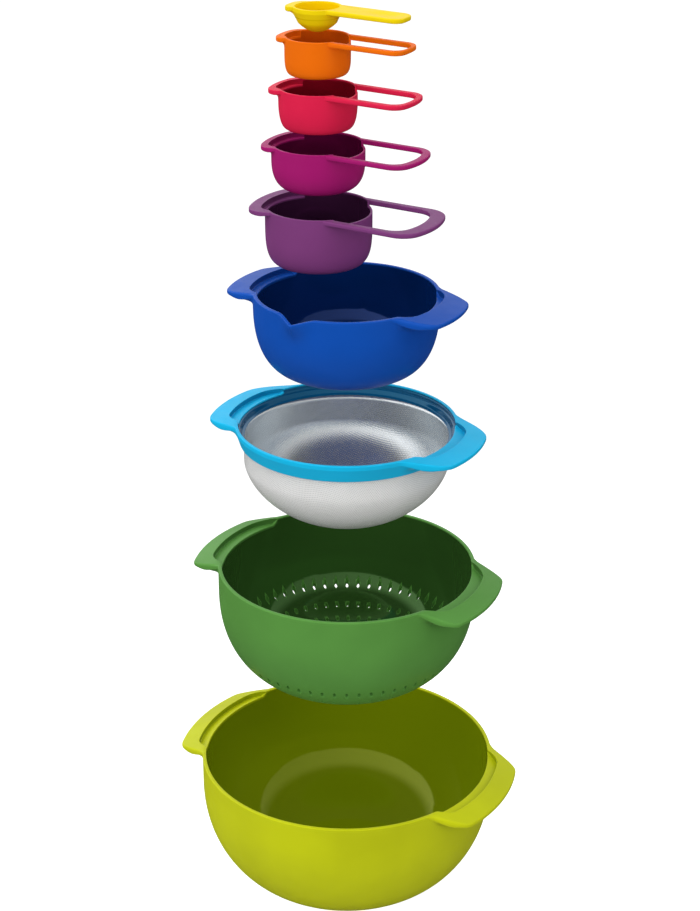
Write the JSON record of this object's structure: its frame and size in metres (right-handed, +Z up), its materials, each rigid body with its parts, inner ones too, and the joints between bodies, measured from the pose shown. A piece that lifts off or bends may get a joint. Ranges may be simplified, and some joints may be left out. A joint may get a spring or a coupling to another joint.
{
  "type": "nesting mixing bowl and measuring cup set",
  "caption": "Nesting kitchen set: mixing bowls, colander, mesh sieve, measuring cups and a spoon that slide down into one another.",
  "frame": {"origin": "on the table, at the centre of the underside of the large bowl's foot ring", "axes": "+Z up, +X along the wings and the measuring cups' handles"},
  "size_m": [0.3182, 0.2708, 0.8248],
  "materials": {
    "lime_plastic": "satin moulded",
    "green_plastic": "satin moulded",
    "sky_plastic": "satin moulded",
    "blue_plastic": "satin moulded",
    "purple_plastic": "satin moulded",
    "magenta_plastic": "satin moulded",
    "red_plastic": "satin moulded",
    "orange_plastic": "satin moulded",
    "yellow_plastic": "satin moulded",
    "lime_rubber": "matte",
    "blue_rubber": "matte",
    "steel_hoop": "brushed",
    "steel_mesh": "woven wire"
  },
  "bodies": {
    "mixing_bowl_large": {"mixing_bowl_large": "lime_plastic", "mixing_bowl_large_foot": "lime_rubber"},
    "colander": {"colander": "green_plastic"},
    "sieve": {"sieve_rim": "sky_plastic", "sieve_hoop": "steel_hoop", "sieve_mesh": "steel_mesh"},
    "mixing_bowl_small": {"mixing_bowl_small": "blue_plastic", "mixing_bowl_small_foot": "blue_rubber"},
    "measuring_cup_250": {"measuring_cup_250": "purple_plastic"},
    "measuring_cup_125": {"measuring_cup_125": "magenta_plastic"},
    "measuring_cup_85": {"measuring_cup_85": "red_plastic"},
    "measuring_cup_60": {"measuring_cup_60": "orange_plastic"},
    "measuring_spoon_15": {"measuring_spoon_15": "yellow_plastic"}
  },
  "joints": [
    {"name": "colander_lift", "type": "slide", "parent": "mixing_bowl_large", "child": "colander", "axis": [0, 0, 1], "range_m": [-0.1893, 0]},
    {"name": "sieve_lift", "type": "slide", "parent": "colander", "child": "sieve", "axis": [0, 0, 1], "range_m": [-0.1352, 0]},
    {"name": "small_bowl_lift", "type": "slide", "parent": "sieve", "child": "mixing_bowl_small", "axis": [0, 0, 1], "range_m": [-0.1161, 0]},
    {"name": "cup_250_lift", "type": "slide", "parent": "mixing_bowl_small", "child": "measuring_cup_250", "axis": [0, 0, 1], "range_m": [-0.0713, 0]},
    {"name": "cup_125_lift", "type": "slide", "parent": "measuring_cup_250", "child": "measuring_cup_125", "axis": [0, 0, 1], "range_m": [-0.0535, 0]},
    {"name": "cup_85_lift", "type": "slide", "parent": "measuring_cup_125", "child": "measuring_cup_85", "axis": [0, 0, 1], "range_m": [-0.0473, 0]},
    {"name": "cup_60_lift", "type": "slide", "parent": "measuring_cup_85", "child": "measuring_cup_60", "axis": [0, 0, 1], "range_m": [-0.0421, 0]},
    {"name": "spoon_15_lift", "type": "slide", "parent": "measuring_cup_60", "child": "measuring_spoon_15", "axis": [0, 0, 1], "range_m": [-0.0244, 0]}
  ]
}
